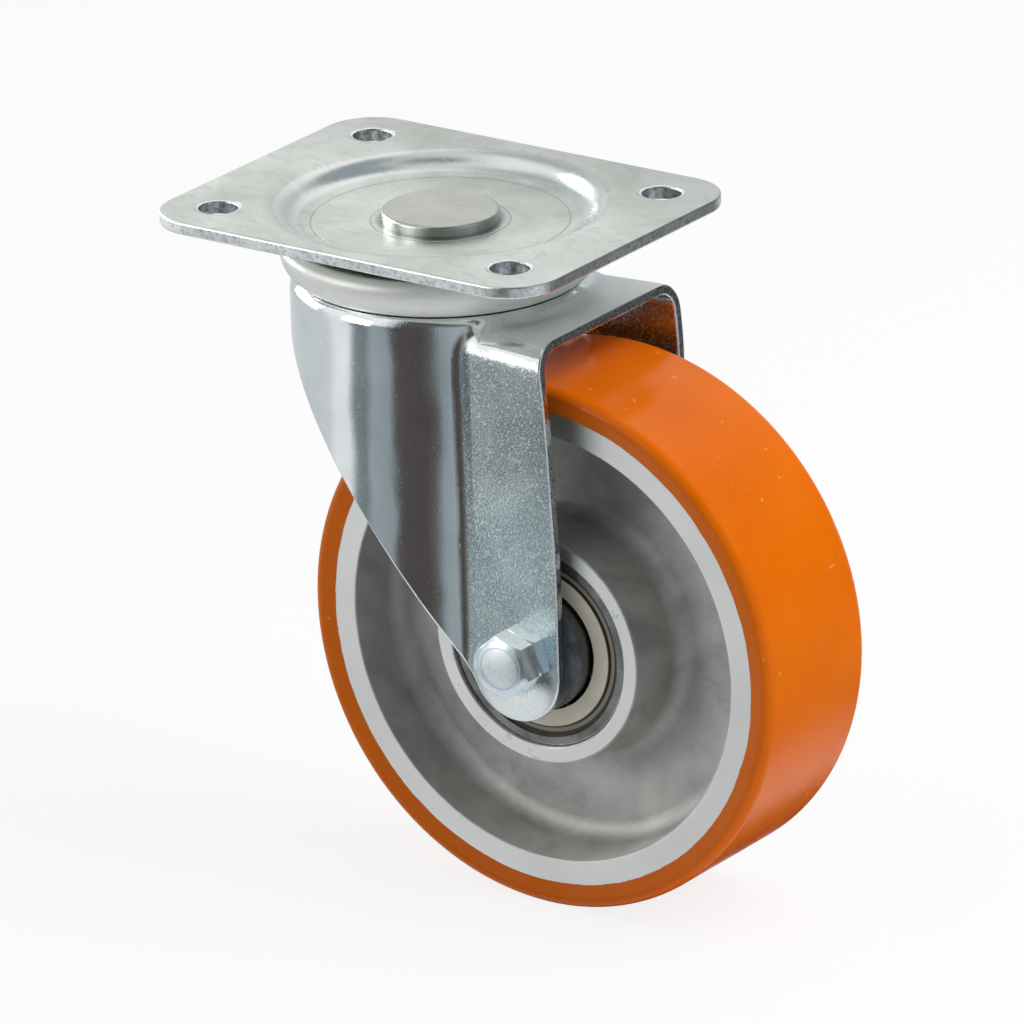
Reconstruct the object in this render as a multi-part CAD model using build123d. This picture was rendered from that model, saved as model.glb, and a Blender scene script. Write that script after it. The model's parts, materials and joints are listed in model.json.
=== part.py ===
from build123d import *
import os
from math import acos, asin, atan2, cos, degrees, floor, hypot, pi, radians, sin, tan

# Swivel castor: bolt-on top plate, swivel head with two rows of balls, pressed
# sheet fork and a bonded wheel on two deep-groove ball bearings.
# Millimetres. The origin is on the swivel axis in the plane of the plate's top
# face, +Z is up, the wheel trails towards +X and its axle runs along Y. The head
# of the axle bolt is on the -Y side.

# ---------------------------------------------------------------- mounting plate
plate_length = 106.0
plate_width = 86.0
plate_sheet = 3.0
plate_corner_radius = 12.0
plate_edge_round = 0.6
bolt_spacing_x = 80.0
bolt_spacing_y = 60.0
bolt_hole_radius = 4.5
bolt_hole_round = 0.45
dish_mouth_radius = 40.0
dish_floor_radius = 30.0
dish_depth = 4.5

# ------------------------------------------------------------------- swivel head
ball_diameter = 6.35
ball_play = 0.05
ball_spacing = 1.03
race_depth = 0.475
upper_pitch_radius = 28.5
lower_pitch_radius = 14.5
kingpin_head_radius = 13.5
kingpin_head_height = 2.7
kingpin_head_round = 0.9
kingpin_neck_radius = 8.0
kingpin_tail_radius = 6.0
kingpin_foot_radius = 9.5
kingpin_foot_height = 2.8
kingpin_foot_round = 1.4
crown_hole_gap = 1.5
cup_sheet = 2.5
cup_radius = 36.7
cup_bend = 0.2
cup_lip_tuck = 2.3
cup_lip_gap = 0.75
lower_race_sheet = 2.5
lower_race_radius = 21.0
lower_race_bend = 0.8
lower_race_gap = 1.0

# -------------------------------------------------------------------------- fork
fork_sheet = 2.5
crown_radius = 34.5
crown_round = 4.2
crown_step = 3.1
leg_spread = 28.4
leg_foot_height = 14.0
leg_narrowing = 5.2
fold_bend = 4.5
arch_overrun = 12.0
front_reach = 47.15
front_setback = 2.15
front_bow = 25.4
rear_skirt = 6.2
toe_radius = 11.9
toe_back = 2.4
toe_drop = 4.4
heel_angle = 28.0
skirt_blend = 6.0
cut_edge_round = 0.5

# --------------------------------------------------------------- wheel and tread
axle_trail = 38.0
axle_drop = 94.0
wheel_radius = 62.5
tread_width = 40.2
tread_shoulder = 2.3
rim_radius = 57.0
rim_width = 37.4
rim_inner_radius = 51.2
web_thickness = 9.0
web_blend = 4.0
hub_radius = 27.3
hub_width = 40.8
casting_draft = 5.0
machined_edge = 0.4

# ---------------------------------------------- ball bearings, 20 x 47 x 14 size
bearing_bore_radius = 10.0
bearing_radius = 23.5
bearing_width = 14.0
bearing_recess = 0.8
bearing_corner = 0.6
bearing_shoulder_width = 2.5
bearing_ball_diameter = 7.94
bearing_ball_count = 8
bearing_pitch_radius = 16.75
inner_land_radius = 14.0
outer_land_radius = 19.3
seal_rim = 2.2
seal_bore_radius = 14.85
seal_thickness = 0.9
seal_recess = 0.3
seal_groove_width = 2.2
seal_groove_depth = 0.5
cage_thickness = 2.4
cage_play = 0.1
cage_rail = 0.6

# ------------------------------------------- axle: bushes, tube and M8 fasteners
bush_flange_radius = 14.1
bush_flange_thickness = 3.5
bush_sleeve_length = 12.0
spacer_tube_wall = 2.6
bolt_radius = 4.0
bolt_gap = 0.2
bolt_end_proud = 1.8
bolt_end_chamfer = 0.8
hex_across_flats = 13.0
hex_face_radius = 5.8
hex_chamfer_angle = 30.0
hex_turn = 44.0
bolt_head_height = 5.3
thin_nut_height = 4.2
lock_nut_height = 8.0
lock_nut_collar_height = 2.4
lock_nut_collar_radius = 6.0
insert_radius = 5.2
insert_height = 1.6
insert_lip = 0.4

# ----------------------------------------------------------------- derived sizes
ball_radius = ball_diameter / 2
race_radius = ball_radius + ball_play
race_offset = race_radius - race_depth
plate_under = -dish_depth - plate_sheet
cup_under = plate_under - cup_sheet
upper_balls_z = cup_under - race_offset
crown_top = upper_balls_z - race_offset
crown_under = crown_top - fork_sheet
arm_top = crown_top - crown_step
lower_balls_z = crown_under - race_offset
lower_race_top = lower_balls_z - race_offset
lower_race_under = lower_race_top - lower_race_sheet

seal_seat_radius = bearing_radius - seal_rim
bearing_face = hub_width / 2 - bearing_recess
bearing_back = bearing_face - bearing_width
bearing_middle = (bearing_face + bearing_back) / 2
leg_inside = bearing_face + bush_flange_thickness
leg_outside = leg_inside + fork_sheet
bolt_head_seat = leg_outside + thin_nut_height
bolt_end = leg_outside + lock_nut_height + bolt_end_proud
axle_hole_radius = bolt_radius + bolt_gap
foot_top = -axle_drop + leg_foot_height
below_fork = -axle_drop - 3 * toe_radius


# ------------------------------------------------------------------------ helpers
def turned(outline):
    """Solid of revolution about Z from a closed outline drawn as (radius, height)."""
    return revolve(make_face(Plane.XZ * outline), Axis.Z)


def ring(inner, outer, low, high):
    """Disc, washer or tube between two heights."""
    return turned(Polyline((inner, low), (outer, low), (outer, high), (inner, high), close=True))


def mirrored(points):
    """Outline points followed by their mirror images below height zero."""
    return points + [(radius, -height) for radius, height in reversed(points)]


def ball_spots(pitch, count):
    """Evenly spaced places on a pitch circle, half a step round from the X axis."""
    return PolarLocations(pitch, count, start_angle=180 / count)


def ball_circle(pitch, height, radius, count):
    """Balls evenly spaced on one pitch circle."""
    ball = Pos(0, 0, height) * Sphere(radius)
    return Compound(children=[spot * ball for spot in ball_spots(pitch, count)])


def ball_count(pitch):
    """As many swivel balls as fill the pitch circle with a little play."""
    return floor(2 * pi * pitch / (ball_diameter * ball_spacing))


def ball_race(pitch, height):
    """Round groove that a row of swivel balls runs in, as a cutter."""
    return Pos(0, 0, height) * Torus(pitch, race_radius)


def on_axle(shape):
    """Wheel part drawn about local Z, set on the axle with +Z towards the bolt's head."""
    return Pos(axle_trail, 0, -axle_drop) * Rot(90, 0, 0) * shape


def on_nut_side(shape):
    """The same part mirrored to the other side of the wheel."""
    return on_axle(mirror(shape, Plane.XY))


# ----------------------------------------------------------------- mounting plate
def dish():
    """Round dish of even sheet, its wall an S-bend of two equal tangent arcs."""
    run = dish_mouth_radius - dish_floor_radius
    bend = (run ** 2 + dish_depth ** 2) / (4 * dish_depth)
    slope = degrees(asin(run / (2 * bend)))
    mouth = (dish_mouth_radius, -bend)
    floor_bend = (dish_floor_radius, bend - dish_depth)
    outline = Curve() + [
        Line((kingpin_neck_radius, -dish_depth), (dish_floor_radius, -dish_depth)),
        CenterArc(floor_bend, bend, 270, slope),
        CenterArc(mouth, bend, 90, slope),
        Line((dish_mouth_radius, 0), (dish_mouth_radius, -plate_sheet)),
        CenterArc(mouth, bend - plate_sheet, 90, slope),
        CenterArc(floor_bend, bend + plate_sheet, 270, slope),
        Line((dish_floor_radius, plate_under), (kingpin_neck_radius, plate_under)),
        Line((kingpin_neck_radius, plate_under), (kingpin_neck_radius, -dish_depth)),
    ]
    return turned(outline)


def top_plate():
    """Rectangular plate with four bolt holes and a round dish for the kingpin's head."""
    plate = extrude(RectangleRounded(plate_length, plate_width, plate_corner_radius), -plate_sheet)
    plate = fillet(plate.edges() - plate.edges().filter_by(Axis.Z), plate_edge_round)
    plate -= Cylinder(dish_mouth_radius, 3 * plate_sheet)
    hole = Cylinder(bolt_hole_radius, 3 * plate_sheet)
    for place in GridLocations(bolt_spacing_x, bolt_spacing_y, 2, 2):
        plate -= place * hole
    rims = plate.edges().filter_by(GeomType.CIRCLE).filter_by(lambda edge: edge.radius == bolt_hole_radius)
    plate = fillet(rims.group_by(Axis.Z)[-1], bolt_hole_round)
    return plate + dish()


# -------------------------------------------------------------------- swivel head
def swivel_cup():
    """Pressed bowl under the plate: the upper race, with a dust lip tucked in below."""
    shoulder_bend = cup_bend + cup_sheet
    wall_top = plate_under - shoulder_bend
    wall_height = wall_top - crown_top - cup_lip_gap
    wall_bend = (cup_lip_tuck ** 2 + wall_height ** 2) / (2 * cup_lip_tuck)
    sweep = asin(wall_height / wall_bend)
    shoulder = (cup_radius - shoulder_bend, wall_top)
    middle = (cup_radius - wall_bend, wall_top)
    lip_outer = (middle[0] + wall_bend * cos(sweep), wall_top - wall_bend * sin(sweep))
    inner_bend = wall_bend - cup_sheet
    lip_inner = (middle[0] + inner_bend * cos(sweep), wall_top - inner_bend * sin(sweep))
    outline = Curve() + [
        Line((kingpin_neck_radius, cup_under), (kingpin_neck_radius, plate_under)),
        Line((kingpin_neck_radius, plate_under), (shoulder[0], plate_under)),
        CenterArc(shoulder, shoulder_bend, 0, 90),
        CenterArc(middle, wall_bend, 0, -degrees(sweep)),
        Line(lip_outer, lip_inner),
        CenterArc(middle, inner_bend, 0, -degrees(sweep)),
        CenterArc(shoulder, cup_bend, 0, 90),
        Line((shoulder[0], cup_under), (kingpin_neck_radius, cup_under)),
    ]
    return turned(outline) - ball_race(upper_pitch_radius, upper_balls_z)


def kingpin():
    """Rivet of the swivel head: head in the dish, stepped neck, foot under the lower race."""
    foot_under = lower_race_under - kingpin_foot_height
    outline = FilletPolyline(
        (0, -dish_depth + kingpin_head_height),
        (kingpin_head_radius, -dish_depth + kingpin_head_height),
        (kingpin_head_radius, -dish_depth),
        (kingpin_neck_radius, -dish_depth),
        (kingpin_neck_radius, lower_race_top),
        (kingpin_tail_radius, lower_race_top),
        (kingpin_tail_radius, lower_race_under),
        (kingpin_foot_radius, lower_race_under),
        (kingpin_foot_radius, foot_under),
        (0, foot_under),
        radius=[0, kingpin_head_round, 0, 0, 0, 0, 0, 0, kingpin_foot_round, 0],
        close=True)
    return turned(outline)


def lower_race():
    """Dished washer that carries the lower row of balls and shields it from below."""
    rim_top = crown_under - lower_race_gap
    rim_inside = lower_race_radius - lower_race_sheet
    outline = FilletPolyline(
        (kingpin_tail_radius, lower_race_under),
        (lower_race_radius, lower_race_under),
        (lower_race_radius, rim_top),
        (rim_inside, rim_top),
        (rim_inside, lower_race_top),
        (kingpin_tail_radius, lower_race_top),
        radius=[0, lower_race_bend + lower_race_sheet, 0, 0, lower_race_bend, 0],
        close=True)
    return turned(outline) - ball_race(lower_pitch_radius, lower_balls_z)


# --------------------------------------------------------------------------- fork
def arch_section(reach, widening, inset):
    """Outline of bridge and legs across the fork, at a distance in front of the swivel axis."""
    top = arm_top - inset
    shoulder = leg_spread + widening - inset
    foot = leg_outside - inset
    bend = fold_bend + fork_sheet - inset
    bend_end = top - bend
    handle = (bend_end - foot_top) / 3
    right = Curve() + [
        Line((0, top), (shoulder - bend, top)),
        CenterArc((shoulder - bend, bend_end), bend, 0, 90),
        Bezier(
            (shoulder, bend_end), (shoulder, bend_end - handle),
            (foot, foot_top + handle), (foot, foot_top)),
        Polyline((foot, foot_top), (foot, below_fork), (0, below_fork)),
    ]
    outline = right + mirror(right, Plane.YZ)
    return Pos(reach, 0, 0) * make_face(Plane.YZ * outline)


def legs(inset):
    """Bridge and two legs as one filled arch, its upper half flared from the skirt to the front."""
    root = arch_section(0, -leg_narrowing, inset)
    past_front = arch_section(front_reach + arch_overrun, leg_narrowing * arch_overrun / front_reach, inset)
    return loft([root, past_front], ruled=True)


def pressing(inset):
    """Filled form of the fork; drawn in by the sheet, it is the hollow inside."""
    radius = crown_radius - inset
    skirt = turned(FilletPolyline(
        (0, below_fork), (radius, below_fork), (radius, crown_top - inset), (0, crown_top - inset),
        radius=[0, 0, crown_round - inset, 0], close=True))
    skirt = Rot(0, 0, 180) * skirt
    arch = legs(inset)
    form = skirt + arch
    inner_corner = new_edges(skirt, arch, combined=form)
    return fillet(inner_corner, skirt_blend + inset)


def side_view():
    """Side outline of the fork: front bowed in at the top, round toe, rear sweeping up to the skirt."""
    toe = Vector(axle_trail - toe_back, -axle_drop - toe_drop)
    front = Vector(front_reach, arm_top - front_bow)
    bridge = Vector(front_reach - front_setback, arm_top)
    reach = front - toe
    lean = atan2(reach.Y, reach.X) - acos(toe_radius / reach.length)
    heel = radians(180 + heel_angle)
    front_end = toe + toe_radius * Vector(cos(lean), sin(lean))
    heel_end = toe + toe_radius * Vector(cos(heel), sin(heel))
    toe_end = toe - Vector(0, toe_radius)
    rear = Vector(-crown_radius, crown_top - rear_skirt)
    outside = Vector(-2 * crown_radius, crown_top - rear_skirt)
    outline = Curve() + [
        TangentArc(front, bridge, tangent=front - front_end),
        Line(front, front_end),
        ThreePointArc(front_end, toe_end, heel_end),
        TangentArc(heel_end, rear, tangent=(sin(heel), -cos(heel))),
        Polyline(rear, outside, (outside.X, 0), (bridge.X, 0), bridge),
    ]
    return extrude(make_face(Plane.XZ * outline), 2 * leg_spread, both=True)


def fork():
    """Folded and drawn sheet: crown with two races, round skirt, bridge and two legs."""
    blank = pressing(0) - pressing(fork_sheet)
    outline = side_view()
    sheet = blank & outline
    sheet = fillet(new_edges(blank, outline, combined=sheet), cut_edge_round)
    sheet -= ring(0, kingpin_neck_radius + crown_hole_gap, crown_under - 1, crown_top + 1)
    sheet -= ball_race(upper_pitch_radius, upper_balls_z)
    sheet -= ball_race(lower_pitch_radius, lower_balls_z)
    return sheet - on_axle(Cylinder(axle_hole_radius, 3 * leg_outside))


# ---------------------------------------------------------------- wheel and tread
def wheel_tread():
    """Cast tread bonded round the rim, with rounded shoulders."""
    rim = rim_width / 2
    side = tread_width / 2
    outline = FilletPolyline(
        (rim_radius, rim), (wheel_radius, side), (wheel_radius, -side), (rim_radius, -rim),
        radius=[0, tread_shoulder, tread_shoulder, 0], close=True)
    return turned(outline)


def wheel_core():
    """Casting with rim, web and hub; hub bored from both sides for the bearings."""
    web = web_thickness / 2
    hub = hub_width / 2
    rim = rim_width / 2
    hub_foot = hub_radius + (hub - web) * tan(radians(casting_draft))
    rim_foot = rim_inner_radius - (rim - web) * tan(radians(casting_draft))
    outline = mirrored([
        (bearing_radius - bearing_shoulder_width, bearing_back),
        (bearing_radius, bearing_back),
        (bearing_radius, hub),
        (hub_radius, hub),
        (hub_foot, web),
        (rim_foot, web),
        (rim_inner_radius, rim),
        (rim_radius, rim),
    ])
    rounds = [0, 0, machined_edge, machined_edge, web_blend, web_blend, machined_edge, 0]
    rounds = rounds + rounds[::-1]
    return turned(FilletPolyline(*outline, radius=rounds, close=True))


# ----------------------------------------------------------------------- bearings
def bearing_race():
    """Ball groove of a wheel bearing, as a cutter about the bearing's own middle."""
    return Torus(bearing_pitch_radius, bearing_ball_diameter / 2 + ball_play)


def outer_ring():
    """Outer bearing ring with its ball groove and a seal seat in each face."""
    face = bearing_width / 2
    seat = face - seal_recess - seal_thickness
    outline = mirrored([
        (outer_land_radius, seat), (seal_seat_radius, seat), (seal_seat_radius, face), (bearing_radius, face),
    ])
    rounds = [0, 0, 0, bearing_corner, bearing_corner, 0, 0, 0]
    return turned(FilletPolyline(*outline, radius=rounds, close=True)) - bearing_race()


def inner_ring():
    """Inner bearing ring with its ball groove."""
    face = bearing_width / 2
    outline = mirrored([(bearing_bore_radius, face), (inner_land_radius, face)])
    rounds = [bearing_corner, 0, 0, bearing_corner]
    return turned(FilletPolyline(*outline, radius=rounds, close=True)) - bearing_race()


def outer_seal():
    """Seal disc of the bearing's outer face, with a sunk groove where it snaps in."""
    face = bearing_width / 2 - seal_recess
    groove = seal_seat_radius - seal_groove_width
    return turned(Polyline(
        (seal_bore_radius, face - seal_thickness), (seal_seat_radius, face - seal_thickness),
        (seal_seat_radius, face - seal_groove_depth), (groove, face - seal_groove_depth),
        (groove, face), (seal_bore_radius, face), close=True))


def bearing_balls():
    """Balls of one wheel bearing."""
    return ball_circle(bearing_pitch_radius, 0, bearing_ball_diameter / 2, bearing_ball_count)


def bearing_cage():
    """Ring that keeps the balls apart, with a round pocket for each."""
    pocket = bearing_ball_diameter / 2 + cage_play
    inner = bearing_pitch_radius - cage_thickness / 2
    cage = ring(inner, inner + cage_thickness, -pocket - cage_rail, pocket + cage_rail)
    for spot in ball_spots(bearing_pitch_radius, bearing_ball_count):
        cage -= spot * Rot(0, 90, 0) * Sphere(pocket)
    return cage


# ------------------------------------------------------------------------ axle
def axle_bush():
    """Top-hat bush: sleeve in the inner ring, flange between the ring and the leg."""
    return turned(Polyline(
        (axle_hole_radius, bearing_face - bush_sleeve_length),
        (bearing_bore_radius, bearing_face - bush_sleeve_length),
        (bearing_bore_radius, bearing_face), (bush_flange_radius, bearing_face),
        (bush_flange_radius, leg_inside), (axle_hole_radius, leg_inside), close=True))


def spacer_tube():
    """Tube that keeps the two inner rings apart."""
    return ring(bearing_bore_radius, bearing_bore_radius + spacer_tube_wall, -bearing_back, bearing_back)


def hexagon(low, high, both_ends=False):
    """Fastener hexagon with its corners turned off at the top or at both ends."""
    corner = hex_across_flats / 2 / cos(radians(30))
    reach = 1.2 * corner
    drop = (reach - hex_face_radius) * tan(radians(hex_chamfer_angle))
    foot = [(hex_face_radius, low), (reach, low + drop)] if both_ends else [(reach, low)]
    outline = Polyline((0, low), *foot, (reach, high - drop), (hex_face_radius, high), (0, high), close=True)
    bar = extrude(Rot(0, 0, hex_turn) * RegularPolygon(corner, 6), high - low)
    return Pos(0, 0, low) * bar & turned(outline)


def axle_bolt():
    """Hexagon bolt through both legs."""
    shank = ring(0, bolt_radius, -bolt_end, bolt_head_seat)
    shank = chamfer(shank.edges().group_by(Axis.Z)[0], bolt_end_chamfer)
    return hexagon(bolt_head_seat, bolt_head_seat + bolt_head_height) + shank


def thin_nut():
    """Thin nut between the bolt's head and the leg, its corners turned off on the head's side."""
    return hexagon(leg_outside, bolt_head_seat) - Cylinder(bolt_radius, 3 * bolt_head_seat)


def lock_nut():
    """Lock nut with a round collar rolled over its insert."""
    top = leg_outside + lock_nut_height
    collar = top - lock_nut_collar_height
    pocket = top - insert_lip - insert_height
    nut = hexagon(leg_outside, collar, True)
    nut += ring(0, lock_nut_collar_radius, leg_outside, top)
    nut -= Cylinder(bolt_radius, 3 * top)
    return nut - ring(0, insert_radius, pocket, top - insert_lip)


def lock_nut_insert():
    """Plastic ring inside the lock nut's collar."""
    top = leg_outside + lock_nut_height - insert_lip
    return ring(bolt_radius, insert_radius, top - insert_height, top)


# --------------------------------------------------------------------- sub-parts
def bearing_parts():
    """Both bearings, each piece once per side."""
    middle = Pos(0, 0, bearing_middle)
    seal = outer_seal()
    pieces = {
        "bearing_outer_ring": outer_ring(),
        "bearing_inner_ring": inner_ring(),
        "bearing_balls": bearing_balls(),
        "bearing_cage": bearing_cage(),
        "bearing_outer_seal": seal,
        "bearing_inner_seal": mirror(seal, Plane.XY),
    }
    parts = {}
    for name, piece in pieces.items():
        parts[f"{name}_bolt_side"] = on_axle(middle * piece)
        parts[f"{name}_nut_side"] = on_nut_side(middle * piece)
    return parts


def castor_parts():
    upper_count = ball_count(upper_pitch_radius)
    lower_count = ball_count(lower_pitch_radius)
    parts = {
        "top_plate": top_plate(),
        "swivel_cup": swivel_cup(),
        "kingpin": kingpin(),
        "lower_race": lower_race(),
        "upper_swivel_balls": ball_circle(upper_pitch_radius, upper_balls_z, ball_radius, upper_count),
        "lower_swivel_balls": ball_circle(lower_pitch_radius, lower_balls_z, ball_radius, lower_count),
        "fork": fork(),
        "wheel_tread": on_axle(wheel_tread()),
        "wheel_core": on_axle(wheel_core()),
        "axle_bush_bolt_side": on_axle(axle_bush()),
        "axle_bush_nut_side": on_nut_side(axle_bush()),
        "bearing_spacer_tube": on_axle(spacer_tube()),
        "axle_bolt": on_axle(axle_bolt()),
        "axle_thin_nut": on_axle(thin_nut()),
        "axle_lock_nut": on_nut_side(lock_nut()),
        "lock_nut_insert": on_nut_side(lock_nut_insert()),
    }
    return parts | bearing_parts()


os.makedirs("parts", exist_ok=True)
for node, shape in castor_parts().items():
    export_step(shape, f"parts/{node}.step")
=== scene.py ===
import json
import math

import bmesh
import bpy
from mathutils import Matrix, Vector


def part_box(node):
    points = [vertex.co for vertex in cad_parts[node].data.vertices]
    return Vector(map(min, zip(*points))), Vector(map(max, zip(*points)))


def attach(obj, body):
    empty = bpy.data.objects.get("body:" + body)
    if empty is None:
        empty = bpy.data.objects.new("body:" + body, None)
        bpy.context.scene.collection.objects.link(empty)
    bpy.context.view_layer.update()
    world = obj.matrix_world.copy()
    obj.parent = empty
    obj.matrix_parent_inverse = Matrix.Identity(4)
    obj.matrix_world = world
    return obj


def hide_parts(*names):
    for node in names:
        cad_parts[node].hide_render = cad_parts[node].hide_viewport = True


# Looks of the swivel castor: a finish for every material slot, the cup's curled dust lip, the
# bolt's thread, a pale studio and the camera. Metres, in the row frame: origin on the swivel axis
# in the plate's top plane, +Z up, the wheel trails towards +X, its axle runs along Y.

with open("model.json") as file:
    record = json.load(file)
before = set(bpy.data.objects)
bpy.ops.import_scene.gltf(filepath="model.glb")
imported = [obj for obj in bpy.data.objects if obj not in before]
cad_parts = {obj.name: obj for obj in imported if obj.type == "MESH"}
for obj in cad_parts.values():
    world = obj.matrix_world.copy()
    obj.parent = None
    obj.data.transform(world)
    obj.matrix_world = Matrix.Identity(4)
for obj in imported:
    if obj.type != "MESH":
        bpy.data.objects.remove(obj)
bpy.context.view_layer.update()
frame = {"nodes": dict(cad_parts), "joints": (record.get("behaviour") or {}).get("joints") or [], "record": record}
nodes = frame["nodes"]
joints = {joint["name"]: joint for joint in frame["joints"]}
mounts = {mount["name"]: mount for mount in frame["record"]["mounts"]}
MM = 0.001

# ------------------------------------------------------------ camera and framing
camera_azimuth = 35.212
camera_elevation = 20.414
camera_roll = -1.366
camera_distance = 2.50615
camera_target = (0.017754, 0, -0.071621)
camera_lens = 388.5
camera_sensor = 36.0
camera_reach = (0.01, 50.0)

# ---------------------------------------------------- sizes taken from the frame
axle = Vector(joints["wheel_spin"]["pos_m"])
plate_low, plate_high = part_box("top_plate")
tread_low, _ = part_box("wheel_tread")
core_low, core_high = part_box("wheel_core")
ring_low, ring_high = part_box("bearing_outer_ring_bolt_side")
floor_height = tread_low.z
rim_radius = (core_high.z - core_low.z) / 2
bearing_radius = (ring_high.z - ring_low.z) / 2
hole_dims = mounts["plate_bolts"]["dims"]
hole_radius = hole_dims["hole_r_mm"] * MM
hole_x = hole_dims["spacing_x_mm"] / 2 * MM
hole_y = hole_dims["spacing_y_mm"] / 2 * MM

# ----------------------------------- places on the solids that the finishes follow
dish_outside = 39 * MM
dish_wall_low = -6 * MM
dish_wall_line = (29.4 * MM, 0.25 * MM)
head_line = (15.8 * MM, 0.3 * MM)
head_shadow = (13.6 * MM, 15.6 * MM)
dish_rings = (26 * MM, 31 * MM)
plate_shade = (-5 * MM, 42 * MM)
leg_start = (16 * MM, 22 * MM)
leg_fold = (22.5 * MM, 24.5 * MM)
crown_height = (-21 * MM, -19.5 * MM)
toe_x = axle.x - 2.4 * MM
toe_z = axle.z - 4.4 * MM
head_ring = 5.0 * MM
head_ridge = 4.9 * MM
rim_band = 6.4 * MM
hub_band = 4.3 * MM
flash_reach = 0.15 * MM
seal_groove = bearing_radius - 4.5 * MM
seal_lip = bearing_radius - 4.7 * MM
seal_rim = bearing_radius - 3.4 * MM


# ------------------------------------------------------------------- node graphs
class Graph:
    """Makes the nodes of one material or world and joins their sockets."""

    def __init__(self, tree):
        self.tree = tree
        tree.nodes.clear()

    def add(self, kind, inputs=None, output=0, **settings):
        """A node with settings and inputs. A socket as input is linked. Gives one output socket."""
        node = self.tree.nodes.new("ShaderNode" + kind)
        for name, value in settings.items():
            setattr(node, name, value)
        for name, value in (inputs or {}).items():
            if isinstance(value, bpy.types.NodeSocket):
                self.tree.links.new(value, node.inputs[name])
            else:
                node.inputs[name].default_value = value
        return node.outputs[output] if node.outputs else node

    def math(self, operation, a, b=0.0):
        return self.add("Math", {0: a, 1: b}, operation=operation)

    def plus(self, a, b):
        return self.math("ADD", a, b)

    def minus(self, a, b):
        return self.math("SUBTRACT", a, b)

    def times(self, a, b):
        return self.math("MULTIPLY", a, b)

    def most(self, a, b):
        """The larger of two values."""
        return self.math("MAXIMUM", a, b)

    def unsigned(self, value):
        return self.math("ABSOLUTE", value)

    def rest(self, value):
        """What is left of 1."""
        return self.minus(1.0, value)

    def distance(self, a, b):
        """How far a place lies from the origin, from its two coordinates."""
        return self.math("SQRT", self.plus(self.times(a, a), self.times(b, b)))

    def near(self, value, middle, width, inner):
        """1 where the value is within inner of the middle, 0 beyond the width."""
        return self.span(self.unsigned(self.minus(value, middle)), width, inner)

    def noise(self, coords, scale, detail=2.0, rough=0.5, stretch=(1, 1, 1), warp=0.0):
        """Noise from 0 to 1 whose grains are about 1 / scale metres wide."""
        place = self.add("Mapping", {"Vector": coords, "Scale": stretch})
        return self.add("TexNoise", {"Vector": place, "Scale": scale, "Detail": detail,
                                     "Roughness": rough, "Distortion": warp})

    def ramp(self, fac, stops, interpolation="LINEAR"):
        """Colour ramp. A stop is (position, grey or colour)."""
        socket = self.add("ValToRGB", {"Fac": fac})
        ramp = socket.node.color_ramp
        ramp.interpolation = interpolation
        while len(ramp.elements) < len(stops):
            ramp.elements.new(1.0)
        for element, (position, colour) in zip(ramp.elements, stops):
            element.position = position
            element.color = rgba(colour)
        return socket

    def span(self, value, low, high, to_low=0.0, to_high=1.0):
        """The value taken smoothly from low..high to to_low..to_high, held at both ends."""
        return self.add("MapRange", {"Value": value, "From Min": low, "From Max": high,
                                     "To Min": to_low, "To Max": to_high},
                        interpolation_type="SMOOTHSTEP")

    def mix(self, fac, a, b, blend="MIX"):
        """From a to b as fac goes from 0 to 1."""
        return self.add("Mix", {0: fac, 6: as_input(a), 7: as_input(b)}, output=2,
                        data_type="RGBA", blend_type=blend)

    def tint(self, colour, mask, strength, tone):
        """The colour taken towards the tone by the strength where the mask is 1."""
        return self.mix(self.times(mask, strength), colour, tone)

    def bump(self, height, depth, normal=None):
        """Surface relief: height 0 to 1 stands for depth in metres."""
        inputs = {"Height": height, "Distance": depth}
        if normal is not None:
            inputs["Normal"] = normal
        return self.add("Bump", inputs)

    def finish(self, shader, kind="OutputMaterial"):
        self.add(kind, {"Surface": shader})

    def principled(self, inputs):
        self.finish(self.add("BsdfPrincipled", inputs))


def rgba(colour):
    """Grey or colour as four numbers."""
    if isinstance(colour, (int, float)):
        return (colour, colour, colour, 1.0)
    return (*colour, 1.0)


def as_input(value):
    return value if isinstance(value, bpy.types.NodeSocket) else rgba(value)


def new_material(name):
    material = bpy.data.materials.new(name)
    material.use_nodes = True
    return material, Graph(material.node_tree)


def object_coords(g):
    """Place on the object, which stays with the piece at every pose."""
    return g.add("TexCoord", output=3)


def split(g, coords):
    """The three coordinates as sockets."""
    node = g.add("SeparateXYZ", {"Vector": coords}).node
    return node.outputs[0], node.outputs[1], node.outputs[2]


def facing(g):
    """How far the surface faces along X, Y and Z."""
    return split(g, g.add("NewGeometry", output=1))


def facing_axle(g):
    """How squarely the surface faces along the axle, 0 to 1."""
    return g.unsigned(facing(g)[1])


def axle_radius(g, coords):
    """Distance from the axle's line."""
    x, _, z = split(g, coords)
    return g.distance(g.minus(x, axle.x), g.minus(z, axle.z))


def swivel_radius(g, coords):
    """Distance from the swivel axis."""
    x, y, _ = split(g, coords)
    return g.distance(x, y)


def scratches(g, coords, scale, angle, amount):
    """Fine straight scratches, 1 on a scratch: stretched noise cut off near its top."""
    turned = g.add("Mapping", {"Vector": coords, "Rotation": (0.35 * angle, 0.2 * angle, angle)})
    lines = g.noise(turned, scale, detail=1.0, stretch=(1, 34, 34))
    patches = g.noise(coords, scale=90.0, detail=1.0)
    cut = g.times(lines, g.span(patches, 0.45, 0.65))
    return g.span(cut, 0.72 - amount, 0.78 - amount)


def streaks(g, coords, scale, angle, cut):
    """Faint rubbed streaks that lie one way, 0 to 1."""
    turned = g.add("Mapping", {"Vector": coords, "Rotation": (0.0, 0.0, angle)})
    marks = g.noise(turned, scale, detail=3.0, rough=0.6, stretch=(1, 5, 5), warp=0.6)
    return g.span(marks, cut, cut + 0.12)


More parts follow.
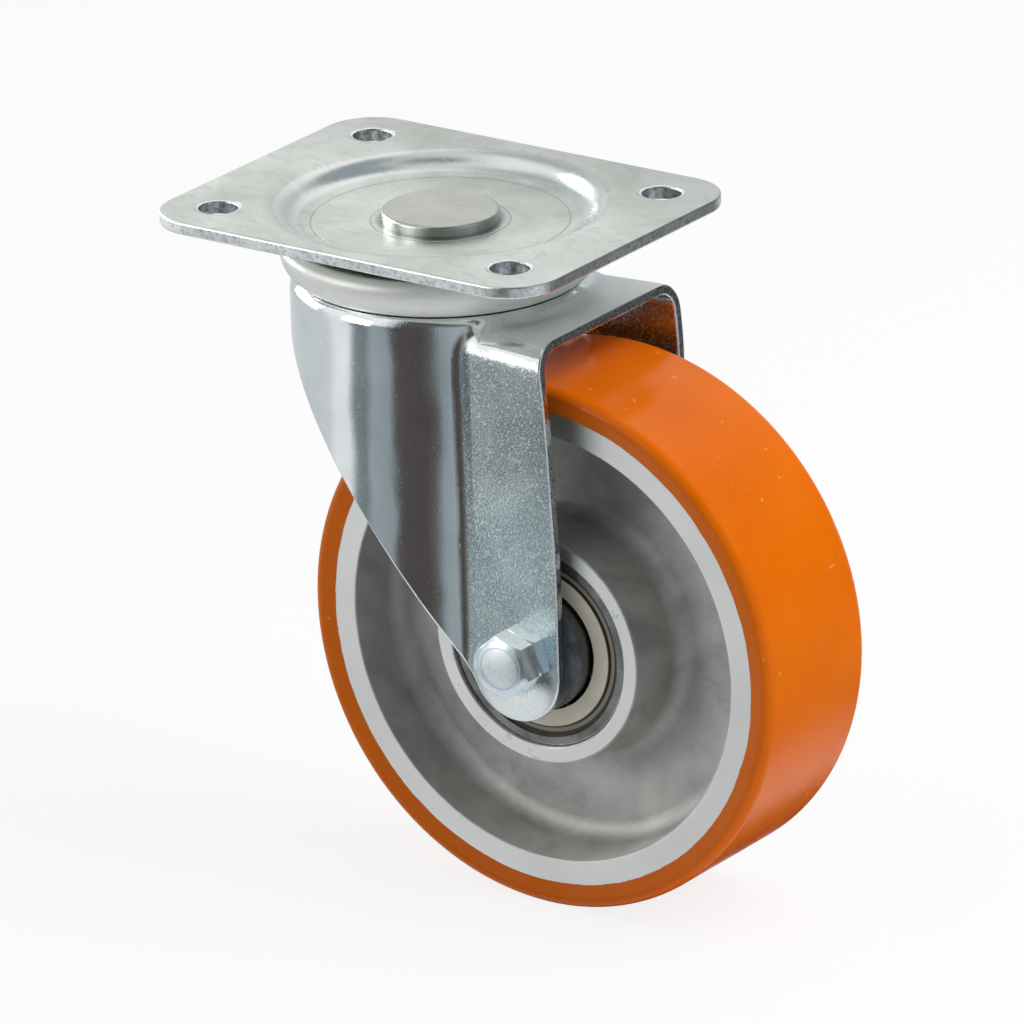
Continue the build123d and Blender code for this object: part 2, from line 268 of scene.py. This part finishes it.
def veins(g, coords, spacing, width, share):
    """Thin wandering lines in patches, 1 on a line."""
    wander = g.add("TexNoise", {"Vector": coords, "Scale": 120.0}, output=1)
    bent = g.mix(0.05, coords, wander, "ADD")
    cell = g.add("TexVoronoi", {"Vector": bent, "Scale": 1.0 / spacing}, feature="DISTANCE_TO_EDGE")
    chosen = g.span(g.noise(coords, 0.55 / spacing, detail=0.0), share, share + 0.05)
    return g.times(g.span(cell, width / spacing, 0.3 * width / spacing), chosen)


def turned_lines(g, radius, coords, pitch):
    """Fine uneven rings of a turned face, from 0 to 1."""
    wobble = g.noise(coords, scale=60.0, detail=1.0)
    along = g.plus(radius, g.times(wobble, 0.3 * pitch))
    place = g.add("CombineXYZ", {"X": along})
    return g.add("TexNoise", {"Vector": place, "Scale": 1.0 / pitch, "Detail": 3.0,
                              "Roughness": 0.7})


def ring_line(g, radius, line):
    """One thin line round the swivel axis, 1 on the line. A line is (radius, half width)."""
    middle, width = line
    return g.near(radius, middle, width, 0.2 * width)


# --------------------------------------------------------------------- materials
zinc_white = (0.93, 0.96, 0.97)
zinc_bare = (0.36, 0.38, 0.36)


def zinc_top(name):
    """Satin zinc of plate and cup: smudges, rubbed streaks, pressed lines, pale cut edges, painted highlights on
    the hole rims and the dish wall, painted shade in the creases, round the kingpin's foot, towards the back and
    low on the cut edge.
    """
    material, g = new_material(name)
    coords = object_coords(g)
    x, y, z = split(g, coords)
    radius = swivel_radius(g, coords)
    _, _, up = facing(g)
    cloud = g.noise(coords, scale=42.0, detail=5.0, rough=0.62, warp=0.6)
    smear = g.noise(coords, scale=130.0, detail=3.0, rough=0.6, stretch=(1, 1.6, 1), warp=1.5)
    speckle = g.noise(coords, scale=900.0, detail=3.0, rough=0.7)
    grain = g.noise(coords, scale=1500.0, detail=3.0, rough=0.6)

    # Masks: the cut edge, the bolt holes' rims and bores, the dish's lines and wall, the cup.
    edge = g.times(g.span(g.unsigned(up), 0.5, 0.2),
                   g.span(radius, dish_outside, dish_outside + 2 * MM))
    hole = g.distance(g.minus(g.unsigned(x), hole_x), g.minus(g.unsigned(y), hole_y))
    rim = g.span(hole, hole_radius + 1.1 * MM, hole_radius + 0.4 * MM)
    bore = g.span(hole, hole_radius + 0.25 * MM, hole_radius + 0.1 * MM)
    crease = g.most(ring_line(g, radius, dish_wall_line), ring_line(g, radius, head_line))
    wall = g.times(g.span(up, 0.97, 0.90), g.span(radius, dish_outside, dish_outside - 2 * MM))
    wall = g.times(wall, g.span(z, dish_wall_low, dish_wall_low + 1 * MM))
    foot = g.times(g.span(radius, head_shadow[1], head_shadow[0]),
                   g.span(z, -2.5 * MM, -3.5 * MM))
    cup = g.span(z, plate_low.z, plate_low.z - 0.3 * MM)
    marks = g.most(streaks(g, coords, scale=60.0, angle=0.4, cut=0.60),
                   streaks(g, coords, scale=80.0, angle=1.5, cut=0.62))
    lines = scratches(g, coords, scale=55.0, angle=0.6, amount=0.05)

    colour = g.ramp(cloud, [(0.30, (0.56, 0.595, 0.555)), (0.52, (0.69, 0.72, 0.68)),
                            (0.72, (0.78, 0.81, 0.77))])
    colour = g.mix(g.span(smear, 0.54, 0.70, 0.0, 0.5), colour, (0.50, 0.53, 0.50))
    # Painted shade: the plate darker towards the back (+Y).
    colour = g.mix(1.0, colour, g.span(y, *plate_shade, 1.0, 0.80), "MULTIPLY")
    colour = g.tint(colour, marks, 0.22, zinc_bare)
    colour = g.tint(colour, lines, 0.4, zinc_white)
    # Painted shade: the dish's crease lines, round its floor and round the kingpin's head, tinted dark.
    colour = g.tint(colour, crease, 0.35, (0.25, 0.26, 0.25))
    # Painted highlight: the dish's wall tinted towards white.
    colour = g.tint(colour, wall, 0.45, zinc_white)
    # Painted shadow round the kingpin's foot.
    colour = g.tint(colour, foot, 0.8, (0.22, 0.23, 0.22))
    sheared = g.ramp(speckle, [(0.36, (0.60, 0.63, 0.64)), (0.47, (0.88, 0.91, 0.92)),
                               (0.60, (1.0, 1.0, 1.0))])
    # Painted shade: the cut edge darker towards its lower side and lighter at its top.
    edge_shade = g.span(z, plate_high.z - 1.2 * MM, plate_low.z + 0.6 * MM, 0.0, 0.45)
    sheared = g.mix(edge_shade, sheared, (0.36, 0.38, 0.40))
    colour = g.mix(edge, colour, sheared)
    # Painted highlight on the bolt holes' rims.
    colour = g.mix(rim, colour, (0.92, 0.97, 1.0))
    drilled = g.ramp(speckle, [(0.38, (0.30, 0.33, 0.33)), (0.58, (0.66, 0.70, 0.70))])
    colour = g.mix(bore, colour, drilled)
    colour = g.tint(colour, cup, 0.75, (0.93, 0.935, 0.90))

    rings = g.times(turned_lines(g, radius, coords, pitch=1.1 * MM),
                    g.span(radius, dish_rings[1], dish_rings[0]))
    relief = g.plus(grain, g.times(rings, 2.2))
    relief = g.plus(relief, g.times(g.times(speckle, edge), 3.0))
    surface = g.bump(relief, 0.018 * MM)
    surface = g.bump(g.minus(cloud, g.times(crease, 0.5)), 0.20 * MM, normal=surface)
    surface = g.bump(g.rest(rim), 0.30 * MM, normal=surface)
    roughness = g.span(cloud, 0.3, 0.7, 0.36, 0.24)
    roughness = g.plus(roughness, g.times(smear, 0.06))
    roughness = g.plus(roughness, g.times(cup, 0.15))
    roughness = g.minus(roughness, g.times(wall, 0.08))
    g.principled({"Base Color": colour, "Metallic": g.rest(g.times(cup, 0.6)),
                  "Roughness": roughness, "Normal": surface})
    return material


def zinc_sheet(name):
    """Bright zinc of the fork: smooth where it was drawn round, finely pitted on legs and edges, with a painted
    highlight in the valleys and painted shade and light down the legs.
    """
    material, g = new_material(name)
    coords = object_coords(g)
    x, _, z = split(g, coords)
    ahead, _, up = facing(g)
    aside = facing_axle(g)
    cloud = g.noise(coords, scale=60.0, detail=4.0, rough=0.6, warp=0.5)
    pits = g.noise(coords, scale=2000.0, detail=2.0, rough=0.6)
    flecks = g.span(g.noise(coords, scale=1900.0, detail=0.0), 0.69, 0.76)
    wave = g.noise(coords, scale=34.0, detail=1.5)

    # Masks: the level top, the toe's roll, the flat leg, the cut front edge, the leg's fold.
    top = g.span(g.unsigned(up), 0.74, 0.95)
    toe = g.distance(g.minus(x, toe_x), g.minus(z, toe_z))
    roll = g.times(g.span(toe, 12.5 * MM, 4 * MM), g.span(z, axle.z + 2 * MM, axle.z - 6 * MM))
    rolled = g.times(g.span(roll, 1.0, 0.7), g.span(z, axle.z + 3 * MM, axle.z - 5 * MM))
    flat = g.times(g.span(aside, 0.93, 0.985), g.span(x, *leg_start))
    leg = g.times(flat, g.span(rolled, 0.0, 1.0, 1.0, 0.25))
    cut = g.span(ahead, 0.86, 0.95)
    valley = g.times(g.span(x, *leg_fold), g.span(aside, 0.62, 0.75))
    valley = g.times(valley, g.span(g.unsigned(up), 0.35, 0.22))
    valley = g.times(valley, g.rest(flat))
    lines = g.most(scratches(g, coords, scale=60.0, angle=0.5, amount=0.03),
                   scratches(g, coords, scale=80.0, angle=2.2, amount=0.03))

    colour = g.ramp(cloud, [(0.32, (0.72, 0.77, 0.785)), (0.68, (0.82, 0.86, 0.87))])
    pitted = g.ramp(pits, [(0.34, (0.40, 0.48, 0.495)), (0.50, (0.56, 0.65, 0.665)),
                           (0.64, (0.74, 0.82, 0.83))])
    pitted = g.mix(g.span(cloud, 0.40, 0.62, 0.0, 0.4), pitted, (0.68, 0.75, 0.76))
    # Painted shade and light: the legs darker towards the crown and lighter towards the toe.
    shade = g.span(z, axle.z + 18 * MM, axle.z + 62 * MM, 1.22, 0.58)
    pitted = g.mix(1.0, pitted, shade, "MULTIPLY")
    sheared = g.ramp(pits, [(0.40, (0.30, 0.33, 0.36)), (0.52, (0.58, 0.62, 0.64)),
                            (0.62, (0.88, 0.91, 0.92))])
    valley_highlight = g.ramp(pits, [(0.40, (0.55, 0.62, 0.64)), (0.60, (0.98, 1.0, 1.0))])
    colour = g.mix(leg, colour, pitted)
    colour = g.mix(cut, colour, sheared)
    # Painted highlight: the valley between the skirt and the leg tinted towards white.
    colour = g.tint(colour, valley, 0.6, valley_highlight)
    shine = g.most(g.times(flecks, 0.4), g.times(lines, 0.5))
    shine = g.most(shine, g.times(g.span(pits, 0.60, 0.68), g.times(leg, 0.8)))
    colour = g.mix(shine, colour, (0.97, 0.99, 1.0))

    crown = g.times(g.span(z, *crown_height), 0.35)
    grained = g.span(g.most(g.most(leg, cut), crown), 0.0, 1.0, 0.15, 1.0)
    surface = g.bump(g.times(pits, grained), 0.052 * MM)
    surface = g.bump(wave, 1.5 * MM, normal=surface)
    surface = g.bump(roll, 2.2 * MM, normal=surface)
    roughness = g.span(cloud, 0.3, 0.7, 0.055, 0.10)
    for mask, more in ((leg, 0.13), (top, 0.26), (valley, 0.24), (rolled, 0.16), (shine, 0.25)):
        roughness = g.plus(roughness, g.times(mask, more))
    metal = g.rest(g.times(g.most(valley, g.times(top, 0.8)), 0.5))
    g.principled({"Base Color": colour, "Metallic": metal, "Roughness": roughness,
                  "Normal": surface})
    return material


def zinc_plain(name, light, dark, rough, face_rough, depth, marked=0.0, pale=0.0):
    """Zinc of the small parts, satin on the faces that look along the axle. marked is the strength
    of white specks, of a painted blue reflection on the sides and of a painted shade ring on a bolt's
    head, pale that of a white bloom."""
    material, g = new_material(name)
    coords = object_coords(g)
    radius = axle_radius(g, coords)
    _, _, up = facing(g)
    cloud = g.noise(coords, scale=150.0, detail=4.0, rough=0.6, warp=0.4)
    grain = g.noise(coords, scale=1700.0, detail=2.0, rough=0.6)
    specks = g.span(g.noise(coords, scale=1300.0, detail=0.0), 0.62, 0.70)
    face = g.span(facing_axle(g), 0.95, 0.99)
    ring = g.times(g.near(radius, head_ring, 0.24 * MM, 0.14 * MM), face)
    side = g.rest(g.most(face, g.span(up, 0.2, 0.5)))

    colour = g.ramp(cloud, [(0.32, dark), (0.68, light)])
    colour = g.tint(colour, specks, marked, zinc_white)
    # Painted shade: a dark ring in the groove of a bolt's head.
    colour = g.tint(colour, ring, marked, (0.18, 0.24, 0.28))
    # Painted reflection: the hexagon's sides and other sideways faces tinted blue.
    colour = g.tint(colour, side, marked, (0.62, 0.74, 0.86))
    roughness = g.plus(g.span(cloud, 0.3, 0.7, rough - 0.03, rough + 0.05),
                       g.times(face, face_rough - rough))
    height = g.plus(grain, g.times(cloud, 2.0))
    ridge = g.near(radius, head_ridge, 0.35 * MM, 0.0)
    height = g.plus(height, g.times(ridge, g.times(face, 2.5)))
    bloom = g.times(g.most(g.times(face, 0.4), g.span(up, 0.1, 0.7, 0.2, 1.0)), pale)
    g.principled({"Base Color": colour, "Metallic": g.rest(bloom), "Roughness": roughness,
                  "Normal": g.bump(height, depth)})
    return material


def polyurethane(name):
    """Glossy cast polyurethane: even orange with painted shade on its sides, faint waves, scuffs and dust."""
    material, g = new_material(name)
    coords = object_coords(g)
    cloud = g.noise(coords, scale=35.0, detail=3.0)
    side_shade = g.span(facing_axle(g), 0.90, 0.98)
    dust = g.span(g.noise(coords, scale=420.0, detail=0.0), 0.80, 0.84)
    scuffs = scratches(g, coords, scale=70.0, angle=1.2, amount=0.02)
    wave = g.noise(coords, scale=55.0)
    fine = g.noise(coords, scale=900.0)
    colour = g.ramp(cloud, [(0.3, (0.84, 0.155, 0.001)), (0.7, (0.92, 0.185, 0.002))])
    # Painted shade: the tyre's side faces darker.
    colour = g.tint(colour, side_shade, 0.35, (0.50, 0.13, 0.02))
    colour = g.tint(colour, g.most(dust, scuffs), 0.4, (0.95, 0.50, 0.20))
    height = g.plus(g.times(wave, 0.7), g.times(fine, 0.05))
    roughness = g.span(g.noise(coords, scale=110.0, detail=4.0, rough=0.65), 0.35, 0.7, 0.13, 0.24)
    roughness = g.plus(roughness, g.times(scuffs, 0.2))
    g.principled({"Base Color": colour, "Roughness": roughness, "IOR": 1.46,
                  "Specular IOR Level": 0.15, "Subsurface Weight": 0.04,
                  "Subsurface Radius": (1.0, 0.25, 0.04), "Subsurface Scale": 0.002,
                  "Normal": g.bump(height, 0.2 * MM)})
    return material


def cast_aluminium(name):
    """As cast in the web, with mottled stains; turned bright on the rim's and the hub's faces."""
    material, g = new_material(name)
    coords = object_coords(g)
    radius = axle_radius(g, coords)
    mottle = g.noise(coords, scale=85.0, detail=5.0, rough=0.62, warp=0.8)
    stain = g.noise(coords, scale=24.0, detail=3.0, rough=0.55, warp=1.2)
    vein = veins(g, coords, spacing=12 * MM, width=0.35 * MM, share=0.52)
    lines = turned_lines(g, radius, coords, pitch=0.25 * MM)

    # Masks: the turned faces of rim and hub, and orange that ran onto the rim's outer edge.
    face = g.span(facing_axle(g), 0.97, 0.995)
    rim = g.times(face, g.math("GREATER_THAN", radius, rim_radius - rim_band))
    hub = g.times(face, g.math("LESS_THAN", radius, bearing_radius + hub_band))
    bright = g.most(rim, hub)
    ragged = g.noise(coords, scale=130.0, detail=4.0, rough=0.7)
    edge = g.plus(radius, g.times(ragged, 0.7 * MM))
    flash = g.times(rim, g.math("GREATER_THAN", edge, rim_radius + flash_reach))

    cast = g.ramp(mottle, [(0.32, (0.43, 0.425, 0.41)), (0.50, (0.52, 0.515, 0.50)),
                           (0.68, (0.60, 0.59, 0.575))])
    cast = g.mix(g.span(stain, 0.46, 0.66, 0.0, 0.5), cast, (0.80, 0.775, 0.75))
    cast = g.tint(cast, vein, 0.12, (0.16, 0.155, 0.15))
    turned = g.ramp(g.noise(coords, scale=40.0), [(0.35, (0.90, 0.89, 0.865)),
                                                  (0.65, (0.97, 0.96, 0.935))])
    turned = g.mix(g.span(lines, 0.62, 0.75, 0.0, 0.35), turned, (0.60, 0.59, 0.58))
    spots = g.span(g.noise(coords, scale=260.0, detail=3.0, rough=0.7), 0.60, 0.68, 0.0, 0.4)
    turned = g.tint(turned, spots, hub, (0.45, 0.44, 0.42))
    colour = g.mix(bright, cast, turned)
    colour = g.mix(flash, colour, (0.62, 0.13, 0.01))

    grain = g.noise(coords, scale=800.0, detail=4.0, rough=0.65)
    pits = g.span(g.noise(coords, scale=520.0, detail=1.0), 0.28, 0.22)
    height = g.mix(bright, g.minus(grain, g.times(pits, 0.6)), g.times(lines, 0.35))
    roughness = g.mix(bright, g.span(mottle, 0.3, 0.7, 0.62, 0.72),
                      g.span(lines, 0.3, 0.7, 0.36, 0.48))
    g.principled({"Base Color": colour, "Metallic": g.rest(flash), "Roughness": roughness,
                  "Normal": g.bump(height, 0.06 * MM)})
    return material


def turned_steel(name, light, dark, rough):
    """Steel turned about the axle, with fine rings and thin oil stains."""
    material, g = new_material(name)
    coords = object_coords(g)
    lines = turned_lines(g, axle_radius(g, coords), coords, pitch=0.18 * MM)
    film = g.noise(coords, scale=160.0, detail=4.0, rough=0.6)
    colour = g.ramp(film, [(0.34, dark), (0.66, light)])
    roughness = g.span(film, 0.3, 0.7, rough - 0.04, rough + 0.08)
    height = g.plus(g.times(lines, 0.6), g.times(film, 0.4))
    g.principled({"Base Color": colour, "Metallic": 1.0, "Roughness": roughness,
                  "Normal": g.bump(height, 0.012 * MM)})
    return material


def dull(name, light, dark, rough):
    """Plain plastic with a fine grain."""
    material, g = new_material(name)
    coords = object_coords(g)
    cloud = g.noise(coords, scale=130.0, detail=4.0, rough=0.6)
    colour = g.ramp(cloud, [(0.32, dark), (0.68, light)])
    roughness = g.span(cloud, 0.3, 0.7, rough - 0.06, rough + 0.06)
    height = g.noise(coords, scale=700.0, detail=3.0)
    g.principled({"Base Color": colour, "Roughness": roughness,
                  "Normal": g.bump(height, 0.03 * MM)})
    return material


def seal_finish(name):
    """Cream seal with a brown lip and painted shade in two grooves, its snap groove and its rim."""
    material, g = new_material(name)
    coords = object_coords(g)
    radius = axle_radius(g, coords)
    cloud = g.noise(coords, scale=130.0, detail=4.0, rough=0.6)
    cream = g.ramp(cloud, [(0.32, (0.68, 0.64, 0.52)), (0.68, (0.78, 0.75, 0.61))])
    colour = g.mix(g.span(radius, seal_lip, seal_lip + 0.2 * MM), cream, (0.30, 0.27, 0.21))
    groove = g.most(g.near(radius, seal_groove, 0.35 * MM, 0.15 * MM),
                    g.span(radius, seal_rim, seal_rim + 0.2 * MM))
    # Painted shade in the snap groove and along the seal's rim.
    colour = g.mix(groove, colour, (0.045, 0.03, 0.02))
    roughness = g.span(cloud, 0.3, 0.7, 0.42, 0.55)
    height = g.noise(coords, scale=700.0, detail=3.0)
    g.principled({"Base Color": colour, "Roughness": roughness,
                  "Normal": g.bump(height, 0.02 * MM)})
    return material


finishes = {
    "zinc_plate": zinc_top("zinc_plate"),
    "zinc_fork": zinc_sheet("zinc_fork"),
    "zinc_fastener": zinc_plain("zinc_fastener", light=(0.90, 0.95, 0.96), dark=(0.70, 0.77, 0.80),
                                rough=0.14, face_rough=0.40, depth=0.010 * MM, marked=0.8,
                                pale=0.75),
    "kingpin_steel": zinc_plain("kingpin_steel", light=(0.58, 0.60, 0.56), dark=(0.46, 0.48, 0.45),
                                rough=0.30, face_rough=0.30, depth=0.020 * MM),
    "bearing_steel": turned_steel("bearing_steel", light=(0.46, 0.45, 0.42),
                                  dark=(0.30, 0.29, 0.26), rough=0.20),
    "bush_steel": turned_steel("bush_steel", light=(0.20, 0.20, 0.21), dark=(0.11, 0.11, 0.115),
                               rough=0.30),
    "cast_aluminium": cast_aluminium("cast_aluminium"),
    "orange_polyurethane": polyurethane("orange_polyurethane"),
    "seal_cream": seal_finish("seal_cream"),
    "cage_plastic": dull("cage_plastic", light=(0.60, 0.56, 0.46), dark=(0.50, 0.46, 0.37),
                         rough=0.5),
    "insert_nylon": dull("insert_nylon", light=(0.06, 0.14, 0.42), dark=(0.04, 0.10, 0.32),
                         rough=0.45),
}

for subpart in frame["record"]["subparts"]:
    mesh = nodes[subpart["node"]].data
    mesh.materials.clear()
    mesh.materials.append(finishes[subpart["material_slot"]])


# ------------------------------------------------------- forms finer than the CAD
def copied(node, name):
    """A new piece from a node's mesh, with its seams joined, ready to be edited."""
    mesh = nodes[node].data.copy()
    mesh.name = name
    piece = bpy.data.objects.new(name, mesh)
    bpy.context.scene.collection.objects.link(piece)
    shape = bmesh.new()
    shape.from_mesh(mesh)
    bmesh.ops.remove_doubles(shape, verts=shape.verts[:], dist=0.001 * MM)
    return piece, shape


def settle(piece, shape, sharp):
    """Put the edited shape back, smooth but for edges sharper than that many degrees."""
    mesh = piece.data
    bmesh.ops.recalc_face_normals(shape, faces=shape.faces[:])
    shape.to_mesh(mesh)
    shape.free()
    for name in ("custom_normal", "sharp_edge", "sharp_face"):
        if name in mesh.attributes:
            mesh.attributes.remove(mesh.attributes[name])
    mesh.shade_smooth()
    mesh.set_sharp_from_angle(angle=math.radians(sharp))


def make_cup():
    """Swivel cup whose dust lip curls down almost onto the crown, so that no wide gap shows."""
    lip_top, lip_height, lip_inside = -12.0 * MM, 2.75 * MM, 32.4 * MM
    curl_in, curl_down = 1.0 * MM, 1.45 * MM
    piece, shape = copied("swivel_cup", "swivel_cup_lip")
    for vertex in shape.verts:
        radius = math.hypot(vertex.co.x, vertex.co.y)
        drop = (lip_top - vertex.co.z) / lip_height
        if radius < lip_inside or drop <= 0:
            continue
        scale = (radius - curl_in * drop ** 2) / radius
        vertex.co.x *= scale
        vertex.co.y *= scale
        vertex.co.z -= curl_down * drop
    settle(piece, shape, sharp=28.0)
    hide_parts("swivel_cup")
    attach(piece, "plate")


def make_bolt():
    """Axle bolt with its thread on the end that stands out of the lock nut."""
    crest, depth, pitch = 3.98 * MM, 0.62 * MM, 1.25 * MM
    flank, root_flat = 1.25, 0.12
    chamfer_length, chamfer_depth = 0.8 * MM, 0.9 * MM
    inside_nut = 2.5 * MM
    columns, rows_per_turn = 48, 8
    piece, shape = copied("axle_bolt", "axle_bolt_threaded")
    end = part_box("axle_bolt")[1].y
    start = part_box("axle_lock_nut")[1].y - inside_nut
    everything = shape.verts[:] + shape.edges[:] + shape.faces[:]
    bmesh.ops.bisect_plane(shape, geom=everything, plane_co=(0, start, 0), plane_no=(0, 1, 0),
                           clear_outer=True)
    bmesh.ops.holes_fill(shape, edges=[edge for edge in shape.edges if edge.is_boundary])
    rows = int(round((end - start) / (pitch / rows_per_turn)))
    rings = []
    for row in range(rows + 1):
        y = start + (end - start) * row / rows
        ring = []
        for column in range(columns):
            angle = 2 * math.pi * column / columns
            phase = (y / pitch - column / columns) % 1.0
            groove = min(1.0, max(0.0, flank * (1.0 - abs(2 * phase - 1.0)) - root_flat))
            threaded = crest - depth * (1.0 - groove)
            chamfered = crest - chamfer_depth + (end - y) * chamfer_depth / chamfer_length
            radius = min(threaded, chamfered)
            place = (axle.x + radius * math.cos(angle), y, axle.z + radius * math.sin(angle))
            ring.append(shape.verts.new(place))
        rings.append(ring)
    for lower, upper in zip(rings, rings[1:]):
        for column in range(columns):
            after = (column + 1) % columns
            shape.faces.new((lower[column], lower[after], upper[after], upper[column]))
    shape.faces.new(rings[0])
    shape.faces.new(rings[-1])
    settle(piece, shape, sharp=40.0)
    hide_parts("axle_bolt")
    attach(piece, "fork")


make_cup()
make_bolt()

# ------------------------------------------------------------- studio and camera
floor_half = 6.0
floor_glow = 0.85
floor_paper = 0.86
lamp_distance = 1.3
diffuse_strength = 0.8
warm_dark = (1.05, 0.92, 0.87)
cool_grey = (0.88, 1.0, 1.05)

# Studio as the metal sees it: (degrees to the left of the camera, grey), low down and overhead.
low_bands = [
    (-180, 0.72), (-150, 0.62), (-124, 0.24), (-110, 0.10), (-90, 0.12), (-72, 0.50), (-60, 0.62),
    (-30, 0.44), (-8, 0.42), (2, 0.34), (8, 0.12), (15, 0.075), (31, 0.085), (36, 0.11),
    (40, 0.34), (55, 0.38), (62, 0.22), (71, 0.26), (78, 0.88), (92, 0.88), (100, 0.70),
    (125, 0.66), (180, 0.72),
]
high_bands = [
    (-180, 1.0), (-138, 1.0), (-118, 0.35), (-80, 0.35), (-60, 0.70), (-38, 0.30), (-28, 0.10),
    (30, 0.10), (38, 0.75), (46, 1.0), (100, 1.0), (118, 0.75), (138, 0.45), (155, 0.55),
    (170, 0.95), (180, 1.0),
]

# Lamps: name, degrees from the camera's azimuth, elevation, size, radiance, for the matt sides.
lamps = [
    ("key", 76, 50, 1.0, 3.35, True),
    ("side", -124, 17, 0.8, 6.2, False),
    ("front", -68, 15, 0.55, 3.8, False),
]


def azimuth_vector(azimuth, elevation):
    """Unit vector from the object towards a place seen at that azimuth and elevation."""
    a, e = math.radians(azimuth), math.radians(elevation)
    return Vector((math.sin(a) * math.cos(e), -math.cos(a) * math.cos(e), math.sin(e)))


def make_floor():
    """Large pale floor that keeps the soft shadow. Mirror rays pass it and see the studio."""
    mesh = bpy.data.meshes.new("floor")
    corners = [(-floor_half, -floor_half), (floor_half, -floor_half), (floor_half, floor_half),
               (-floor_half, floor_half)]
    mesh.from_pydata([(x, y, floor_height) for x, y in corners], [], [(0, 1, 2, 3)])
    floor = bpy.data.objects.new("floor", mesh)
    bpy.context.scene.collection.objects.link(floor)
    material, g = new_material("floor_white")
    path = g.add("LightPath").node
    white = g.add("Emission", {"Color": rgba(1.0), "Strength": 1.0})
    paper = g.add("BsdfDiffuse", {"Color": rgba(floor_paper)})
    pale = g.add("BsdfDiffuse", {"Color": rgba(1.0)})
    clear = g.add("BsdfTransparent")
    seen = g.add("MixShader", {"Fac": floor_glow, 1: pale, 2: white})
    lit = g.add("MixShader", {"Fac": path.outputs["Is Camera Ray"], 1: paper, 2: seen})
    g.finish(g.add("MixShader", {"Fac": path.outputs["Is Glossy Ray"], 1: lit, 2: clear}))
    mesh.materials.append(material)


def band_ramp(g, share, bands, interpolation="LINEAR"):
    """Greys round the horizon; share is 0 at -180 degrees and 1 at 180."""
    return g.ramp(share, [((angle + 180) / 360, grey) for angle, grey in bands], interpolation)


def make_world():
    """White to the camera; to the castor a tent of bright and dark bands, low down and overhead."""
    world = bpy.data.worlds.new("studio")
    bpy.context.scene.world = world
    world.use_nodes = True
    g = Graph(world.node_tree)
    x, y, z = split(g, g.add("TexCoord", output=0))
    ahead = azimuth_vector(camera_azimuth, 0)
    left = Vector((ahead.y, -ahead.x, 0))
    along = g.plus(g.times(x, ahead.x), g.times(y, ahead.y))
    aside = g.plus(g.times(x, left.x), g.times(y, left.y))
    turn = g.math("ARCTAN2", aside, along)
    share = g.add("MapRange", {"Value": turn, "From Min": -math.pi, "From Max": math.pi})
    low = band_ramp(g, share, low_bands)
    high = band_ramp(g, share, high_bands, "EASE")
    card = g.times(g.span(z, -0.37, -0.43), g.near(turn, 1.48, 0.36, 0.26))
    low = g.mix(card, low, 0.32)
    horizon = g.span(turn, 0.3, 0.6, 0.22, 0.0)
    room = g.mix(g.span(g.minus(z, horizon), 0.0, 0.32), low, high)
    ground = g.span(z, -0.50, -0.62)
    room = g.mix(ground, room, 0.85)
    behind = g.times(g.span(g.unsigned(turn), 2.45, 2.75), g.span(z, -0.40, -0.52))
    room = g.mix(behind, room, 0.03)
    overhead = g.span(z, 0.93, 0.99)
    room = g.mix(overhead, room, 0.78)
    room = g.mix(g.span(room, 0.14, 0.09), room, warm_dark, "MULTIPLY")
    middle = g.times(g.span(room, 0.10, 0.22), g.span(room, 0.80, 0.45))
    room = g.mix(middle, room, cool_grey, "MULTIPLY")
    path = g.add("LightPath").node
    strength = g.span(path.outputs["Is Diffuse Ray"], 0.0, 1.0, 1.0, diffuse_strength)
    lit = g.add("Background", {"Color": room, "Strength": strength})
    white = g.add("Background", {"Color": rgba(1.0), "Strength": 1.0})
    shown = g.add("MixShader", {"Fac": path.outputs["Is Camera Ray"], 1: lit, 2: white})
    g.finish(shown, "OutputWorld")


def softbox(name, azimuth, elevation, size, radiance, matt):
    """Square area lamp that faces the castor. It lights either the matt sides or the mirrors."""
    lamp = bpy.data.lights.new(name, "AREA")
    lamp.shape = "SQUARE"
    lamp.size = size
    lamp.energy = radiance * math.pi * size * size
    box = bpy.data.objects.new(name, lamp)
    toward = azimuth_vector(azimuth, elevation)
    box.location = Vector(camera_target) + lamp_distance * toward
    box.rotation_euler = toward.to_track_quat("Z", "Y").to_euler()
    box.visible_diffuse = matt
    box.visible_glossy = not matt
    bpy.context.scene.collection.objects.link(box)


def make_camera():
    back = azimuth_vector(camera_azimuth, camera_elevation)
    level = math.radians(camera_azimuth)
    roll = Matrix.Rotation(math.radians(camera_roll), 3, back)
    right = roll @ Vector((math.cos(level), math.sin(level), 0))
    up = back.cross(right)
    data = bpy.data.cameras.new("camera")
    data.lens = camera_lens
    data.sensor_width = camera_sensor
    data.clip_start, data.clip_end = camera_reach
    camera = bpy.data.objects.new("camera", data)
    turn = Matrix((right, up, back)).transposed().to_4x4()
    place = Vector(camera_target) + camera_distance * back
    camera.matrix_world = Matrix.Translation(place) @ turn
    bpy.context.scene.collection.objects.link(camera)
    bpy.context.scene.camera = camera


make_floor()
make_world()
for name, turn, elevation, size, radiance, matt in lamps:
    softbox(name, camera_azimuth + turn, elevation, size, radiance, matt)
make_camera()
bpy.context.scene.view_settings.view_transform = "Standard"
